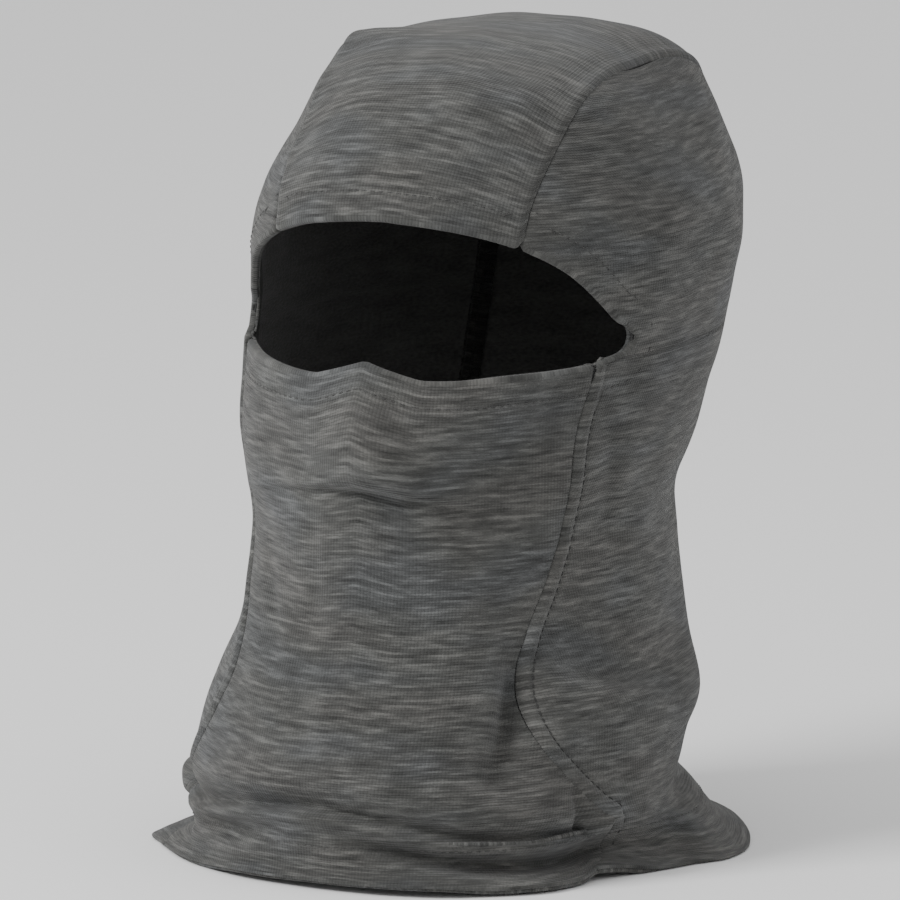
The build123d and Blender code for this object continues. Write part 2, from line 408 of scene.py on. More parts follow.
# Round bumps and hollows: azimuth, height, how far out, and their half sizes across and up
BUMPS = (
    (29, 32, 1.6, 5, 4),
    (113, 245, -3.0, 26, 18),
    (-66, 240, -2.6, 24, 20),
    (-104, 261.5, 5, 12, 7),
    (113, 116, -2.5, 22, 12),
    (88, 36, -2.5, 24, 9),
    (-70, 52, 1.6, 30, 18),
)

# The flange's edge: azimuth, how far it lies out from the CAD hem, and how far off the ground
HEM_EDGE = np.array((
    (-180, -2, 0.2), (-150, -3, 1.2), (-120, -6, 1), (-100, -8, 0.4), (-80, -6, 0.2),
    (-67, -1.5, 0.2), (-61, 1.5, 0.2), (-54, -1.5, 0.2), (-44, -3, 0.8), (-32, -3, 1.8),
    (-11, -3, 2.6), (11, 0.5, 2.8), (21, 1.5, 2.8), (36, -1, 2.4), (46, -9, 2.0), (51, -14, 3.6),
    (57, -14, 3.2), (64, -12.5, 2.0), (76, -9, 0.4), (86, -1.5, 0.2), (98, 0.5, 0.4),
    (115, 0.5, 2.4), (132, 0, 4.0), (155, -1, 2.0), (180, -2, 0.2),
), float)
edge_out = smooth(HEM_EDGE[:, 0], HEM_EDGE[:, 1])
edge_lift = smooth(HEM_EDGE[:, 0], HEM_EDGE[:, 2])


def hem_push(points):
    """How the flange's edge wanders over the ground."""
    azimuth = np.degrees(np.arctan2(points[:, 0], -points[:, 1]))
    outward = unit(points * (1, 1, 0))
    near = np.clip((22 - points[:, 2]) / 15, 0, 1)
    out = near * near * (3 - 2 * near) * edge_out(azimuth)
    lift = np.exp(-((points[:, 2] / 6.0) ** 2)) * edge_lift(azimuth)
    return out[:, None] * outward + lift[:, None] * (0, 0, 1)


def ripples(points):
    """Slight unevenness of worn cloth, as heights over the skin."""
    dice = np.random.default_rng(7)
    shortest, longest, strength = 16, 48, 0.16
    total = np.zeros(len(points))
    for _ in range(26):
        length = dice.uniform(shortest, longest)
        direction = unit(dice.normal(size=3) * (1, 1, 1.3))
        wave = points @ direction * 2 * np.pi / length
        total += length / longest * np.sin(wave + dice.uniform(0, 6.3))
    return strength * total


def skin_section_point(x, z, behind):
    """The point of the skin at x and z, on its front or its back."""
    front, back, power = front_y(z), back_y(z), power_at(z)
    room = np.maximum(1 - (np.abs(x) / half_width(z)) ** power, 0) ** (1 / power)
    side = np.where(behind, 1, -1)
    return xyz(x, (front + back) / 2 + side * (back - front) / 2 * room, z)


def crown_apex(margin, step):
    """The height at which the skin gets narrower than the crown's cut and a margin."""
    height = TOP
    while half_width(height) < crown_seam_x(height) + margin:
        height -= step
    return height


def front_seam_line():
    """The left front seam from the hem to the cheek. Its folds fade out at the hem."""
    z = np.arange(1, 170, 1.0)
    points = skin_section_point(front_seam_x(z), z, False)
    return line_frame(points, np.clip((z - 8) / 10, 0, 1))


def crown_seam_line():
    """The left crown seam from the brow over the head to the hem."""
    turn = np.linspace(0, np.pi / 2, 70)
    rising = CORNER_HIGH + (crown_apex(0.05, 0.05) - CORNER_HIGH) * np.sin(turn)
    falling = np.concatenate([rising[::-1], np.arange(CORNER_HIGH - 1, 1, -1.0)])
    front = skin_section_point(crown_seam_x(rising), rising, False)
    back = skin_section_point(crown_seam_x(falling), falling, True)
    points = np.concatenate([front, back[1:]])
    return line_frame(points, np.ones(len(points)))


# What the seams do to the cloth: how far it stands out, its half widths on both sides, and how
# far beside the seam. The allowance makes a welt, and the seam and the topstitching are drawn in.
FRONT_SEAM_FOLDS = ((0.9, 2.7, 2.7, -2.8), (-0.55, 0.9, 0.9, TOPSTITCHED), (-0.5, 1.4, 1.4, 0))
CROWN_SEAM_FOLDS = ((0.7, 2.2, 4.0, 2.6), (-0.6, 1.3, 1.3, 0))


def laid_folds():
    """All folds, with their lines laid on the skin."""
    laid = [(line_on_skin(path), *rest, 0) for path, *rest in FOLDS]
    for line, folds in ((front_line, FRONT_SEAM_FOLDS), (crown_line, CROWN_SEAM_FOLDS)):
        for points, directions, sides, strengths in (line, mirrored(line)):
            for out, over, under, shift in folds:
                seam = (points, directions, sides, strengths * out)
                laid.append((seam, over, under, 2, 0, shift))
    return laid


front_line, crown_line = front_seam_line(), crown_seam_line()
LAID_FOLDS = laid_folds()


def displaced(points):
    """The folded skin at points of the smooth skin."""
    shape = points.shape
    points = points.reshape(-1, 3)
    normals = skin_normal(points)
    moved = points + ripples(points)[:, None] * normals
    for fold in LAID_FOLDS:
        moved += fold_push(points, normals, fold)
    for bump in BUMPS:
        moved += bump_push(points, normals, bump)
    moved += hem_push(points)
    moved[:, 2] = np.maximum(moved[:, 2], LOWEST)
    return moved.reshape(shape)


# ---------------------------------------------------------------- grids of cloth
def eased(count, squeeze=0.55):
    """Steps from 0 to 1 that are closer together towards both ends."""
    t = np.linspace(0, 1, count)
    return t - squeeze * np.sin(2 * np.pi * t) / (2 * np.pi)


def summed(steps):
    """Lengths up to each point, from the steps between the points."""
    return np.concatenate([[0], np.cumsum(steps)])


def section(height):
    """Half of the skin's section at a height, from the front to the back, and lengths along it."""
    turn = np.linspace(0, np.pi, 721)
    power = 2 / power_at(height)
    front, back = front_y(height), back_y(height)
    x = half_width(height) * np.abs(np.sin(turn)) ** power
    y = np.sign(np.cos(turn)) * np.abs(np.cos(turn)) ** power
    y = (front + back) / 2 - (back - front) / 2 * y
    return x, y, summed(np.hypot(np.diff(x), np.diff(y)))


def length_at_x(height, x, behind=False):
    """How far along a section the given distance from the middle plane is reached."""
    xs, _, lengths = section(height)
    widest = int(xs.argmax())
    if behind:
        return np.interp(-x, -xs[widest:], lengths[widest:])
    return np.interp(x, xs[: widest + 1], lengths[: widest + 1])


def profile_rows(low, high, count, squeeze=0.55):
    """Heights whose distances along the skin's side are even."""
    heights = np.linspace(low, high, 2000)
    lengths = summed(np.hypot(np.diff(heights), np.diff(half_width(heights))))
    return np.interp(eased(count, squeeze) * lengths[-1], lengths, heights)


def side_grid(rows=250, columns=140):
    """The wearer's left side panel, rows from the hem up, columns from front to back."""
    grid = []
    for z in profile_rows(LOWEST, crown_apex(0.8, 0.1), rows):
        starts = side_starts_x(z) if z < SIDE_TOP else crown_seam_x(z)
        at_opening = np.clip((z - ROLL_LOW) / 2, 0, 1) * np.clip((ROLL_HIGH - z) / 2, 0, 1)
        start = length_at_x(z, starts) + SEAM_GAP + at_opening * (EDGE_ROLL - SEAM_GAP)
        end = length_at_x(z, crown_seam_x(z), behind=True) - SEAM_GAP
        x, y, lengths = section(z)
        places = start + (end - start) * eased(columns)
        grid.append(xyz(np.interp(places, lengths, x), np.interp(places, lengths, y), z))
    return np.array(grid)


def front_row_x(z, across):
    """Distances from the middle plane at a height, for shares of the front panel's width."""
    x, _, lengths = section(z)
    end = length_at_x(z, front_seam_x(z)) - SEAM_GAP
    return np.sign(across) * np.interp(np.abs(across) * end, lengths, x)


def front_grid(rows=170, columns=150):
    """The front panel, rows from the hem up, columns from the wearer's right to the left.
    The rows bend more and more, up to the curve of the lip."""
    across = 2 * eased(columns) - 1
    corner = float(lip_z(LIP_HALF))
    heights = profile_rows(LOWEST, corner - EDGE_ROLL, rows)
    top_x = np.abs(front_row_x(heights[-1], across))
    grid = []
    for z in heights:
        row_z = z + (lip_z(top_x) - corner) * (z / heights[-1]) ** 2
        grid.append(skin_section_point(front_row_x(z, across), row_z, False))
    return np.array(grid)


DOME_Y, DOME_Z = 15.0, 200.0  # the crown's rows turn about this line, and drop below it


def crown_grid(rows=340, columns=90):
    """The crown panel, rows from the brow over the head to the hem at the back."""
    across = 2 * eased(columns) - 1
    dome_rows = int(rows * 0.58)
    turns = eased(dome_rows, 0.3)
    x = across * (crown_seam_x(CORNER_HIGH) - CROWN_GAP)
    edge_z = brow_z(np.abs(x)) + BROW_GAP
    brow = cast(xyz(x, 0, edge_z), (0, -1, 0))
    starts = np.arctan2(brow[:, 2] - DOME_Z, DOME_Y - brow[:, 1])
    grid = []
    for turn in turns:
        angles = starts * (1 - turn) + np.pi * turn
        for _ in range(3):
            points = cast(xyz(x, DOME_Y, DOME_Z), xyz(0, -np.cos(angles), np.sin(angles)))
            x = across * (crown_seam_x(points[-1, 2]) - CROWN_GAP)
        grid.append(points)
    heights = profile_rows(LOWEST, DOME_Z, rows - dome_rows + 1, 0.3)[::-1][1:]
    for z in heights:
        x = across * (crown_seam_x(z) - CROWN_GAP)
        grid.append(cast(xyz(x, DOME_Y, z), (0, 1, 0)))
    return np.array(grid)


def grid_normals(grid, closed=False):
    """The outward normals of a grid of points."""
    if closed:
        along = np.roll(grid, -1, axis=0) - np.roll(grid, 1, axis=0)
    else:
        along = np.gradient(grid, axis=0)
    return unit(np.cross(np.gradient(grid, axis=1), along))


def grid_faces(rows, columns, start, flip, closed=False):
    """The quads of a grid whose vertices are numbered from start."""
    numbers = start + np.arange(rows * columns).reshape(rows, columns)
    if closed:
        numbers = np.concatenate([numbers, numbers[:1]])
    a, b, c, d = numbers[:-1, :-1], numbers[:-1, 1:], numbers[1:, 1:], numbers[1:, :-1]
    quads = np.stack([a, d, c, b] if flip else [a, b, c, d], axis=-1)
    return quads.reshape(-1, 4)


def perimeter(rows, columns, closed):
    """The loops of vertices along the edges of a grid."""
    numbers = np.arange(rows * columns).reshape(rows, columns)
    if closed:
        return [numbers[:, 0], numbers[::-1, -1]]
    sides = [numbers[0, :-1], numbers[:-1, -1], numbers[-1, :0:-1], numbers[:0:-1, 0]]
    return [np.concatenate(sides)]


def placed(name, data):
    """A new object in the scene."""
    thing = bpy.data.objects.new(name, data)
    bpy.context.scene.collection.objects.link(thing)
    return thing


def make(name, points, faces, uv=None, materials=(), reverse=()):
    """A smooth-shaded mesh object that rides on the root body. The faces numbered in reverse get
    the second material. Cloth that would reach into the ground lies flat on it."""
    points = np.maximum(points, (-FAR, -FAR, GROUND))
    mesh = bpy.data.meshes.new(name)
    mesh.from_pydata((points * MM).tolist(), [], [tuple(int(i) for i in f) for f in faces])
    if uv is not None:
        layer = mesh.uv_layers.new(name="cloth")
        order = np.empty(len(mesh.loops), int)
        mesh.loops.foreach_get("vertex_index", order)
        layer.data.foreach_set("uv", uv[order].ravel())
    mesh.polygons.foreach_set("use_smooth", [True] * len(mesh.polygons))
    mesh.validate()
    piece = placed(name, mesh)
    for material in materials:
        mesh.materials.append(material)
    numbers = np.zeros(len(mesh.polygons), int)
    numbers[list(reverse)] = 1
    mesh.polygons.foreach_set("material_index", numbers)
    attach(piece, "root")
    return piece


def grid_uv(grid, anchor=0.5):
    """Cloth coordinates: lengths along the rows and, the same for a whole row, up the rows.
    Lengths are counted from the start of the row at anchor 0 and from its end at 1."""
    steps = np.linalg.norm(np.diff(grid, axis=1), axis=-1)
    u = np.concatenate([np.zeros((len(grid), 1)), np.cumsum(steps, axis=1)], axis=1)
    u -= anchor * u[:, -1:]
    rises = np.linalg.norm(np.diff(grid, axis=0), axis=-1).mean(axis=1)
    return np.stack(np.broadcast_arrays(u, summed(rises)[:, None]), axis=-1) / 100


def shell(name, grid, thickness, roll, materials, closed=False, uv=None):
    """A closed sheet of cloth with rounded edges below a grid of points, which is its outside.
    roll is the radius of its rounded edge, one number or one for each point of the edge."""
    rows, columns = grid.shape[:2]
    normals = grid_normals(grid, closed)
    outer = grid.reshape(-1, 3)
    flat_normals = normals.reshape(-1, 3)
    inner = outer - thickness * flat_normals
    flat_uv = (grid_uv(grid) if uv is None else uv).reshape(-1, 2)
    points, uvs = [outer, inner], [flat_uv, flat_uv]
    faces = [grid_faces(rows, columns, 0, False, closed)]
    faces.append(grid_faces(rows, columns, len(outer), True, closed))
    start = 2 * len(outer)
    inside = inner_neighbours(rows, columns, closed)
    for loop in perimeter(rows, columns, closed):
        tangents = unit(np.roll(outer[loop], -1, axis=0) - np.roll(outer[loop], 1, axis=0))
        away = unit(np.cross(tangents, flat_normals[loop]))
        away *= np.sign((away * (outer[loop] - outer[inside[loop]])).sum(1, keepdims=True))
        radius = roll[loop][:, None] if isinstance(roll, np.ndarray) else roll
        before = loop
        for turn in np.linspace(0, np.pi, 6)[1:-1]:
            sunk = radius * (1 - math.cos(turn)) * flat_normals[loop]
            points.append(outer[loop] + radius * math.sin(turn) ** 0.6 * away - sunk)
            uvs.append(flat_uv[loop])
            ring = start + np.arange(len(loop))
            faces.append(between_rings(before, ring))
            before = ring
            start += len(loop)
        faces.append(between_rings(before, loop + len(outer)))
    reverse = range(len(faces[0]), 2 * len(faces[0])) if len(materials) > 1 else ()
    points, faces, uvs = np.concatenate(points), np.concatenate(faces), np.concatenate(uvs)
    return make(name, points, faces, uvs, materials, reverse)


def between_rings(one, other):
    """Quads between two closed loops of vertices."""
    return np.stack([one, other, np.roll(other, -1), np.roll(one, -1)], axis=-1)


def inner_neighbours(rows, columns, closed):
    """For each vertex of a grid, one that lies further in."""
    i, j = np.meshgrid(np.arange(rows), np.arange(columns), indexing="ij")
    if not closed:
        i = np.clip(i, 1, rows - 2)
    j = np.clip(j, 1, columns - 2)
    return (i * columns + j).ravel()


# ---------------------------------------------------------------- materials
# The knit follows the "cloth" coordinates: 1 is 100 mm, u runs along the courses and v up them.
COURSES, WALES = 105.0, 86.0  # rows and columns of loops in 100 mm


def new_material(name, roughness, sheen=0.0):
    """A material with one shader, its node tree and that shader."""
    material = bpy.data.materials.new(name)
    material.use_nodes = True
    shader = material.node_tree.nodes["Principled BSDF"]
    shader.inputs["Roughness"].default_value = roughness
    shader.inputs["Specular IOR Level"].default_value = 0.25
    shader.inputs["Sheen Weight"].default_value = sheen
    shader.inputs["Sheen Roughness"].default_value = 0.6
    return material, material.node_tree, shader


def feed(tree, sockets, sources):
    """Gives each socket a number or the output of another node."""
    for socket, source in zip(sockets, sources):
        if isinstance(source, (int, float)):
            socket.default_value = source
        else:
            tree.links.new(source, socket)


def maths(tree, operation, *sources):
    """A calculation on numbers or on the outputs of other nodes."""
    node = tree.nodes.new("ShaderNodeMath")
    node.operation = operation
    feed(tree, node.inputs, sources)
    return node.outputs[0]


def times(tree, source, factor):
    return maths(tree, "MULTIPLY", source, factor)


def wave(tree, source, factor):
    """The sine of a multiple of an output."""
    return maths(tree, "SINE", times(tree, source, factor))


def cloth_place(tree):
    """The two cloth coordinates of a piece."""
    uv = tree.nodes.new("ShaderNodeUVMap")
    uv.uv_map = "cloth"
    split = tree.nodes.new("ShaderNodeSeparateXYZ")
    tree.links.new(uv.outputs["UV"], split.inputs[0])
    return split.outputs[0], split.outputs[1]


def noise(tree, x, y, detail, z=0.0):
    """Smooth noise between about 0.2 and 0.8 at a place."""
    place = tree.nodes.new("ShaderNodeCombineXYZ")
    feed(tree, place.inputs, (x, y, z))
    node = tree.nodes.new("ShaderNodeTexNoise")
    node.inputs["Scale"].default_value = 1
    node.inputs["Detail"].default_value = detail
    tree.links.new(place.outputs[0], node.inputs["Vector"])
    return node.outputs["Fac"]


def ramp(tree, source, stops):
    """Colours for numbers: stops are pairs of a number and a colour."""
    node = tree.nodes.new("ShaderNodeValToRGB")
    elements = node.color_ramp.elements
    while len(elements) < len(stops):
        elements.new(0.5)
    for element, (place, colour) in zip(elements, stops):
        element.position = place
        element.color = (*colour, 1)
    tree.links.new(source, node.inputs["Fac"])
    return node.outputs["Color"]


def tinted(tree, one, other):
    """The product of two colours."""
    node = tree.nodes.new("ShaderNodeMix")
    node.data_type = "RGBA"
    node.blend_type = "MULTIPLY"
    feed(tree, (node.inputs[0], node.inputs[6], node.inputs[7]), (1.0, one, other))
    return node.outputs[2]


def relief(tree, shader, height, distance):
    """Bump from a height, which stands out by distance in metres."""
    node = tree.nodes.new("ShaderNodeBump")
    node.inputs["Strength"].default_value = 1.0
    node.inputs["Distance"].default_value = distance
    tree.links.new(height, node.inputs["Height"])
    tree.links.new(node.outputs["Normal"], shader.inputs["Normal"])


def heather(tree, u, waved):
    """Light and dark along the yarns, between 0 and 1, and the fibres that are a part of it."""
    row = maths(tree, "FLOOR", times(tree, waved, COURSES))
    start = times(tree, row, 3.71)
    along = maths(tree, "ADD", times(tree, u, 10.0), start)
    yarn = noise(tree, along, times(tree, row, 1.37), 2)
    slub = noise(tree, times(tree, u, 5.5), times(tree, waved, 52.0), 2, 4.0)
    fibre = noise(tree, times(tree, u, 90.0), times(tree, waved, 230.0), 2, 9.0)
    mixed = maths(tree, "ADD", times(tree, yarn, 0.42), times(tree, slub, 0.40))
    return maths(tree, "ADD", mixed, times(tree, fibre, 0.18)), fibre


def jersey(name, stops):
    """Heathered jersey. Each course is one slubbed yarn that changes from dark to light fibres
    along its length, the loops stand out, and the shade drifts slightly over the cloth."""
    material, tree, shader = new_material(name, 0.9, 0.12)
    u, v = cloth_place(tree)
    drift = noise(tree, times(tree, u, 5.0), times(tree, v, 5.0), 1)
    waved = maths(tree, "MULTIPLY_ADD", drift, 0.014, v)
    mixed, fibre = heather(tree, u, waved)
    colour = ramp(tree, maths(tree, "MULTIPLY_ADD", mixed, 2.6, -0.8), stops)
    cloud = noise(tree, times(tree, u, 2.2), times(tree, v, 4.0), 2, 2.0)
    tint = ramp(tree, cloud, (
        (0.36, (1.0, 0.985, 0.955)), (0.5, (0.97, 0.98, 0.96)), (0.64, (0.93, 0.965, 1.0))
    ))
    patch = noise(tree, times(tree, u, 1.3), times(tree, v, 2.1), 2, 6.0)
    shade = ramp(tree, patch, ((0.35, (0.84, 0.84, 0.84)), (0.65, (1.0, 1.0, 1.0))))
    colour = tinted(tree, tinted(tree, colour, tint), shade)
    tree.links.new(colour, shader.inputs["Base Color"])
    across = wave(tree, waved, 2 * math.pi * COURSES)
    along = maths(tree, "ABSOLUTE", wave(tree, u, math.pi * WALES))
    loops = maths(tree, "MULTIPLY_ADD", along, 0.5, times(tree, across, 0.4))
    relief(tree, shader, maths(tree, "MULTIPLY_ADD", mixed, 1.6, loops), 0.00022)
    roughness = maths(tree, "MULTIPLY_ADD", fibre, 0.25, 0.75)
    tree.links.new(roughness, shader.inputs["Roughness"])
    return material


def brushed(name, dark, light):
    """The brushed reverse of the jersey: an even, soft pile."""
    material, tree, shader = new_material(name, 1.0, 0.3)
    u, v = cloth_place(tree)
    pile = noise(tree, times(tree, u, 60.0), times(tree, v, 110.0), 4)
    soft = noise(tree, times(tree, u, 6.0), times(tree, v, 20.0), 2, 3.0)
    mixed = maths(tree, "MULTIPLY_ADD", pile, 0.6, times(tree, soft, 0.4))
    tree.links.new(ramp(tree, mixed, ((0.36, dark), (0.64, light))), shader.inputs["Base Color"])
    relief(tree, shader, pile, 0.0004)
    return material


def thread_material(name, dark, light):
    """Two-ply sewing thread, whose twist shows as fine slanting bands."""
    material, tree, shader = new_material(name, 0.55, 0.1)
    place = tree.nodes.new("ShaderNodeTexCoord")
    twist = tree.nodes.new("ShaderNodeTexWave")
    twist.bands_direction = "DIAGONAL"
    twist.inputs["Scale"].default_value = 650
    twist.inputs["Distortion"].default_value = 0.5
    tree.links.new(place.outputs["Object"], twist.inputs["Vector"])
    colour = ramp(tree, twist.outputs["Fac"], ((0.1, dark), (0.9, light)))
    tree.links.new(colour, shader.inputs["Base Color"])
    relief(tree, shader, twist.outputs["Fac"], 0.00006)
    return material


def woven(name, dark, light, ribs, picks, roughness, sheen):
    """Tape: ribs along its length and finer picks across them."""
    material, tree, shader = new_material(name, roughness, sheen)
    u, v = cloth_place(tree)
    rib = maths(tree, "ABSOLUTE", wave(tree, u, math.pi * ribs))
    pick = maths(tree, "ABSOLUTE", wave(tree, v, math.pi * picks))
    speck = noise(tree, times(tree, u, 80.0), times(tree, v, 80.0), 2)
    height = maths(tree, "MULTIPLY_ADD", rib, 0.6, times(tree, pick, 0.4))
    shade = maths(tree, "MULTIPLY_ADD", height, 0.6, times(tree, speck, 0.5))
    tree.links.new(ramp(tree, shade, ((0.2, dark), (0.8, light))), shader.inputs["Base Color"])
    relief(tree, shader, height, 0.00012)
    return material


SHELL = jersey("heather_jersey", (
    (0.12, (0.022, 0.022, 0.021)), (0.5, (0.06, 0.06, 0.058)), (0.88, (0.132, 0.131, 0.127))
))
REVERSE = brushed("brushed_reverse", (0.06, 0.06, 0.058), (0.13, 0.129, 0.125))
SEAM = jersey("raw_jersey_edge", (
    (0.12, (0.018, 0.018, 0.017)), (0.5, (0.05, 0.0495, 0.0475)), (0.88, (0.11, 0.1085, 0.105))
))
THREAD = thread_material("dark_thread", (0.012, 0.012, 0.012), (0.03, 0.03, 0.029))
TONAL = thread_material("grey_thread", (0.03, 0.03, 0.029), (0.06, 0.059, 0.057))
ELASTIC = woven("black_elastic", (0.01, 0.01, 0.01), (0.04, 0.04, 0.04), 90.0, 150.0, 0.7, 0.1)
LABEL = woven("label_satin", (0.5, 0.495, 0.48), (0.64, 0.635, 0.62), 60.0, 260.0, 0.4, 0.2)

# ---------------------------------------------------------------- panels
pieces, cuts = {}, {}


def stand_for(piece, node):
    """Puts a piece in the place of its CAD node."""
    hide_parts(node)
    pieces[node] = piece


def panel_piece(node, grid, anchor=0.5):
    """A cut panel of the outer cloth, folded, in the place of its CAD node. Its edge rolls inwards
    round the elastic where it borders the eye opening."""
    flat = grid.reshape(-1, 3)
    away = np.linalg.norm(flat - edge_line[0][nearest(flat, edge_line[0])], axis=1)
    roll = np.where(away < ROLLED_WITHIN, EDGE_ROLL, CLOTH / 2)
    uv = grid_uv(grid, anchor)
    piece = shell(node + "_cloth", displaced(grid), CLOTH, roll, (SHELL, REVERSE), uv=uv)
    stand_for(piece, node)
    cuts[node] = cut_size(grid)


def cut_size(grid):
    """Width, length and area, in metres, of the flat cut that makes a grid of cloth."""
    across = np.linalg.norm(np.diff(grid, axis=1), axis=-1)
    along = np.linalg.norm(np.diff(grid, axis=0), axis=-1)
    width, length = across.sum(1).max() + CLOTH, along.sum(0).max() + CLOTH
    quads = np.cross(grid[1:, :-1] - grid[:-1, :-1], grid[:-1, 1:] - grid[:-1, :-1])
    area = np.linalg.norm(quads, axis=-1).sum()
    return (width * MM, length * MM), min(area * MM**2, width * length * MM**2)


# ---------------------------------------------------------------- layers and threads
def on_skin(points):
    """The points of the skin straight under or over points that lie near it."""
    for _ in range(4):
        slope = skin_rises(points) / (2 * PROBE)
        points = points - (outside(points) / (slope**2).sum(-1))[..., None] * slope
    return points


def evened(points):
    """The points of a closed line, each moved towards its neighbours."""
    return (np.roll(points, 1, 0) + 2 * points + np.roll(points, -1, 0)) / 4


def beside(line, offsets, closed=False):
    """A grid on the skin: the points of a line, moved sideways by each of the offsets.
    On a closed line the points further from it are evened out, so that they don't cross."""
    points, _, sides, _ = line
    columns = []
    for offset in offsets:
        column = points + offset * sides
        for _ in range(int(4 * abs(offset)) if closed else 0):
            column = evened(column)
        columns.append(column)
    return on_skin(np.stack(columns, axis=1))


def layer(node, kind, grid, thickness, material, slot, depth=LAYER_DEPTH, closed=False):
    """A strip of cloth or tape that lies at a depth below the folded outside of the garment."""
    folded = displaced(grid)
    normals = grid_normals(folded, closed)
    if (normals * skin_normal(grid)).sum() < 0:
        grid, folded = grid[:, ::-1], folded[:, ::-1]
        normals = -normals[:, ::-1]
    folded = folded - depth * normals
    name, roll = f"{node}_{kind}", thickness / 2
    piece = shell(name, folded, thickness, roll, (material,), closed, grid_uv(grid))
    stand_for(piece, node)
    cuts[node] = cut_size(grid)


def folded_frame(points, directions, sides):
    """Places on the folded outside, with the directions along and out of the cloth."""
    here = displaced(points)
    along = unit(displaced(on_skin(points + 0.5 * directions)) - here)
    across = unit(displaced(on_skin(points + 0.5 * sides)) - here)
    out = unit(np.cross(along, across))
    out *= np.sign((out * skin_normal(points)).sum(1, keepdims=True))
    return here, along, out


def tube(centres, alongs, outs, radii, sides=6):
    """Points and quads of a round tube through the centres, closed at both ends."""
    across = unit(np.cross(alongs, outs))
    turns = np.linspace(0, 2 * np.pi, sides, endpoint=False)
    cosines, sines = np.cos(turns)[None, :, None], np.sin(turns)[None, :, None]
    ring = cosines * across[:, None] + sines * outs[:, None]
    points = (centres[:, None] + radii[:, None, None] * ring).reshape(-1, 3)
    numbers = np.arange(len(centres) * sides).reshape(-1, sides)
    a, b = numbers[:-1], numbers[1:]
    quads = np.stack([a, np.roll(a, -1, 1), np.roll(b, -1, 1), b], axis=-1).reshape(-1, 4)
    caps = [tuple(numbers[0][::-1]), tuple(numbers[-1])]
    return points, [tuple(q) for q in quads] + caps


def thread_piece(name, node, parts, material):
    """One object of many short tubes of thread."""
    points, faces, start = [], [], 0
    for part, quads in parts:
        points.append(part)
        faces += [tuple(start + int(i) for i in quad) for quad in quads]
        start += len(part)
    piece = make(name, np.concatenate(points), faces, None, (material,))
    stand_for(piece, node)


def lengths_of(points):
    """Lengths along a line of points, from its start."""
    return summed(np.linalg.norm(np.diff(points, axis=0), axis=1))


def sampled(places, lengths, values):
    """Vectors given along a line, at other places along it."""
    return np.stack([np.interp(places, lengths, values[:, k]) for k in range(3)], axis=-1)


def evenly(line, pitch, first, last):
    """Points, directions and sides of a line at an even pitch between two of its lengths."""
    points, directions, sides, _ = line
    lengths = lengths_of(points)
    places = np.arange(first, lengths[-1] - last, pitch)
    return [sampled(places, lengths, values) for values in (points, unit(directions), unit(sides))]


STITCH, STITCH_PITCH = 2.2, 2.9


def stitches(node, line, shift, material, radius=0.2, first=3.0, last=3.0):
    """A row of single stitches that lie on the cloth and sink into it at their ends."""
    points, directions, sides = evenly(line, STITCH_PITCH, first, last)
    points = on_skin(points + shift * sides)
    here, along, out = folded_frame(points, directions, sides)
    steps = np.array((-1, -0.86, -0.45, 0, 0.45, 0.86, 1))
    rise = radius * (1.0 - 2.6 * steps**4)
    thick = radius * np.array((0.45, 0.85, 1, 1, 1, 0.85, 0.45))
    parts = []
    for place, way, up in zip(here, along, out):
        centres = place + steps[:, None] * STITCH / 2 * way + rise[:, None] * up
        ways, ups = np.tile(way, (len(steps), 1)), np.tile(up, (len(steps), 1))
        parts.append(tube(centres, ways, ups, thick))
    thread_piece(node.replace("stitch", "stitches"), node, parts, material)


ZIGZAG, ZIGZAG_STEP = 2.6, 0.42  # length of one turn of the looper thread, and its samples


def overlock(node, line, near, far, first, last):
    """Looper thread that wraps the raw edge of a seam allowance in a zigzag."""
    points, directions, sides = evenly(line, ZIGZAG_STEP, first, last)
    turn = np.arange(len(points)) * ZIGZAG_STEP / ZIGZAG * 2 * np.pi
    swing = (near + far) / 2 + (far - near) / 2 * np.sin(turn + 0.5 * np.sin(turn))
    places = on_skin(points + swing[:, None] * sides)
    here, _, out = folded_frame(places, directions, sides)
    centres = here - (OVERLOCK_DEPTH + 0.22 + 0.06 * np.cos(turn))[:, None] * out
    ways = unit(np.gradient(centres, axis=0))
    outs = unit(out - (out * ways).sum(1, keepdims=True) * ways)
    thread = tube(centres, ways, outs, np.full(len(centres), 0.2), 5)
    thread_piece(node.replace("_thread", ""), node, [thread], THREAD)


def opening_line(count=260):
    """The edge of the eye opening, all round, with sides that point into the cloth."""
    low_x = np.linspace(-LIP_HALF, LIP_HALF, 125)
    side_z = np.arange(CORNER_LOW, CORNER_HIGH, 0.5)
    brow_x = np.linspace(BROW_HALF, -BROW_HALF, 93)
    x = np.concatenate([low_x, side_starts_x(side_z), brow_x, -side_starts_x(side_z[::-1])])
    z = np.concatenate([lip_z(np.abs(low_x)), side_z, brow_z(np.abs(brow_x)), side_z[::-1]])
    points = skin_section_point(x, z, False)
    points = np.concatenate([points, points[:1]])
    lengths = lengths_of(points)
    points = sampled(np.linspace(0, lengths[-1], count, endpoint=False), lengths, points)
    for _ in range(3):
        points = evened(points)
    points = on_skin(points)
    directions = unit(np.roll(points, -1, 0) - np.roll(points, 1, 0))
    sides = unit(np.cross(directions, skin_normal(points)))
    middle = points.mean(0)
    if (sides * (points - middle)).sum() < 0:
        sides = -sides
    return points, directions, sides, np.ones(count)


def part_of(line, low, high):
    """The stretch of a line between two of its lengths, counted from each end."""
    points, directions, sides, _ = line
    lengths = lengths_of(points)
    kept = (lengths >= low) & (lengths <= lengths[-1] - high)
    return points[kept], directions[kept], sides[kept], np.ones(kept.sum())


